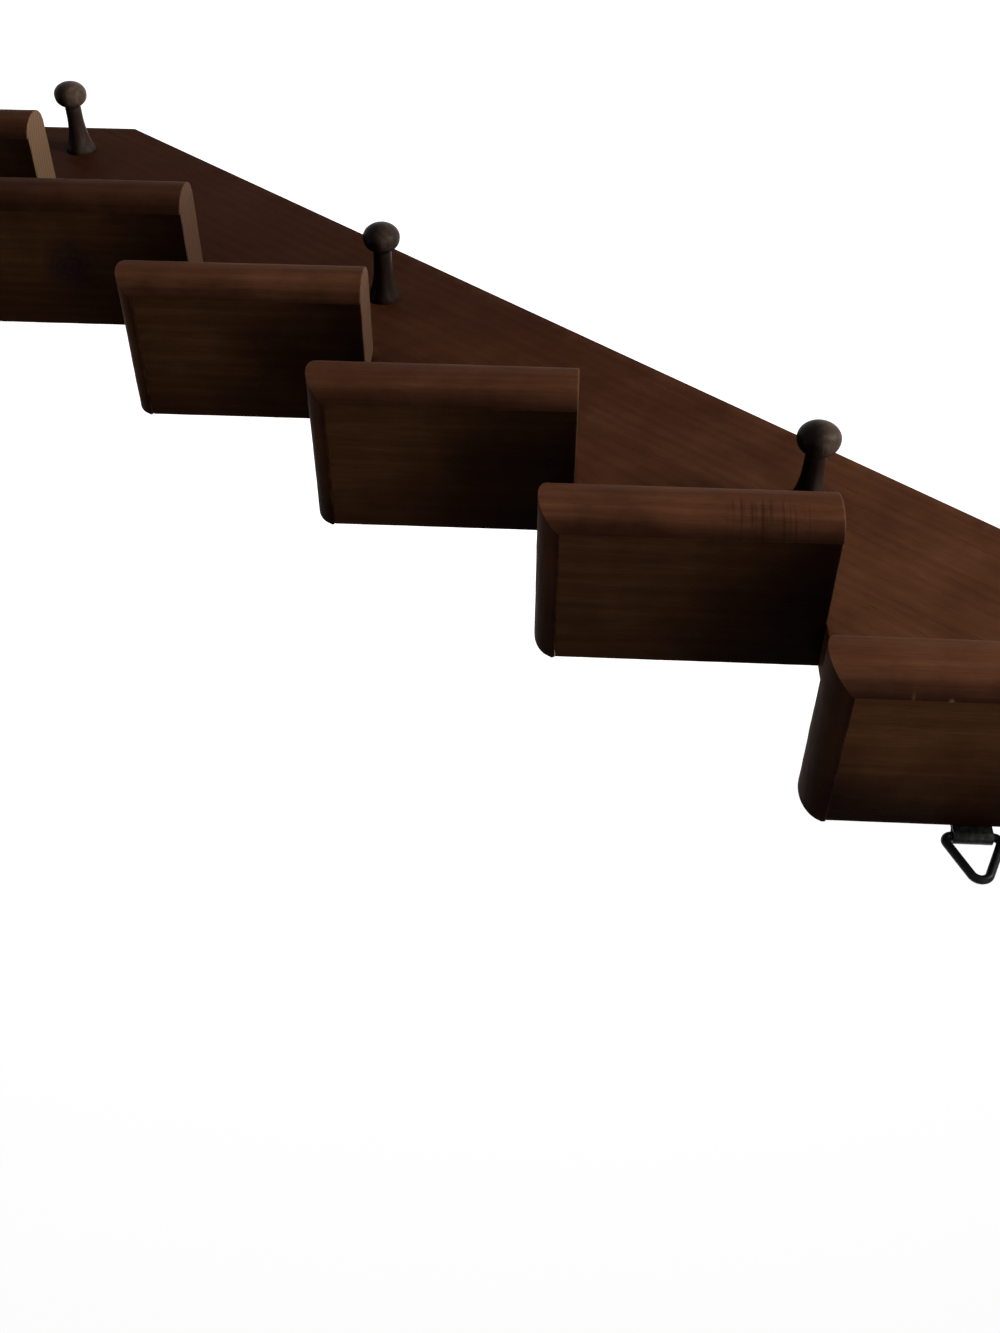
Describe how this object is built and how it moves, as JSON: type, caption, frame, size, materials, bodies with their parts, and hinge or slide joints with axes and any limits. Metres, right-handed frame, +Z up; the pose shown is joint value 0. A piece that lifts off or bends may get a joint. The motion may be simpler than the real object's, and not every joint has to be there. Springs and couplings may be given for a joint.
{
  "type": "stair-shaped wall shelf with pegs",
  "caption": "Stained wood wall shelf shaped like a small open staircase: nosed treads on a sawtooth board, turned pegs below them and ring hangers behind.",
  "frame": {"origin": "on the back face of the stringer, half way across its band and level with the seat of the third step", "axes": "+Z up, +Y into the wall, -Y out to the front; seen from the front the stairs climb to the left, towards -X"},
  "size_m": [0.5115, 0.0653, 0.446],
  "materials": {
    "board_wood": "satin",
    "panel_wood": "satin",
    "nosing_wood": "satin",
    "peg_wood": "satin",
    "dowel_wood": "raw",
    "black_steel": "satin black"
  },
  "bodies": {
    "frame": {"stringer": "board_wood", "tread_dowels": "dowel_wood", "hanger_screws": "black_steel", "tread_panel_1": "panel_wood", "front_nosing_1": "nosing_wood", "return_nosing_1": "nosing_wood", "tread_panel_2": "panel_wood", "front_nosing_2": "nosing_wood", "return_nosing_2": "nosing_wood", "tread_panel_3": "panel_wood", "front_nosing_3": "nosing_wood", "return_nosing_3": "nosing_wood", "tread_panel_4": "panel_wood", "front_nosing_4": "nosing_wood", "return_nosing_4": "nosing_wood", "tread_panel_5": "panel_wood", "front_nosing_5": "nosing_wood", "return_nosing_5": "nosing_wood", "tread_panel_6": "panel_wood", "front_nosing_6": "nosing_wood", "return_nosing_6": "nosing_wood", "peg_1": "peg_wood", "peg_2": "peg_wood", "peg_3": "peg_wood", "lower_hanger_strap": "black_steel", "upper_hanger_strap": "black_steel"},
    "lower_ring": {"lower_hanger_ring": "black_steel"},
    "upper_ring": {"upper_hanger_ring": "black_steel"}
  },
  "joints": [
    {"name": "lower_ring_swing", "type": "hinge", "parent": "frame", "child": "lower_ring", "pos_m": [0.2634, 0.00238, -0.11], "axis": [1, 0, 0], "range_deg": [-165, 90]},
    {"name": "upper_ring_swing", "type": "hinge", "parent": "frame", "child": "upper_ring", "pos_m": [-0.1526, 0.00238, 0.2265], "axis": [1, 0, 0], "range_deg": [-165, 90]}
  ]
}
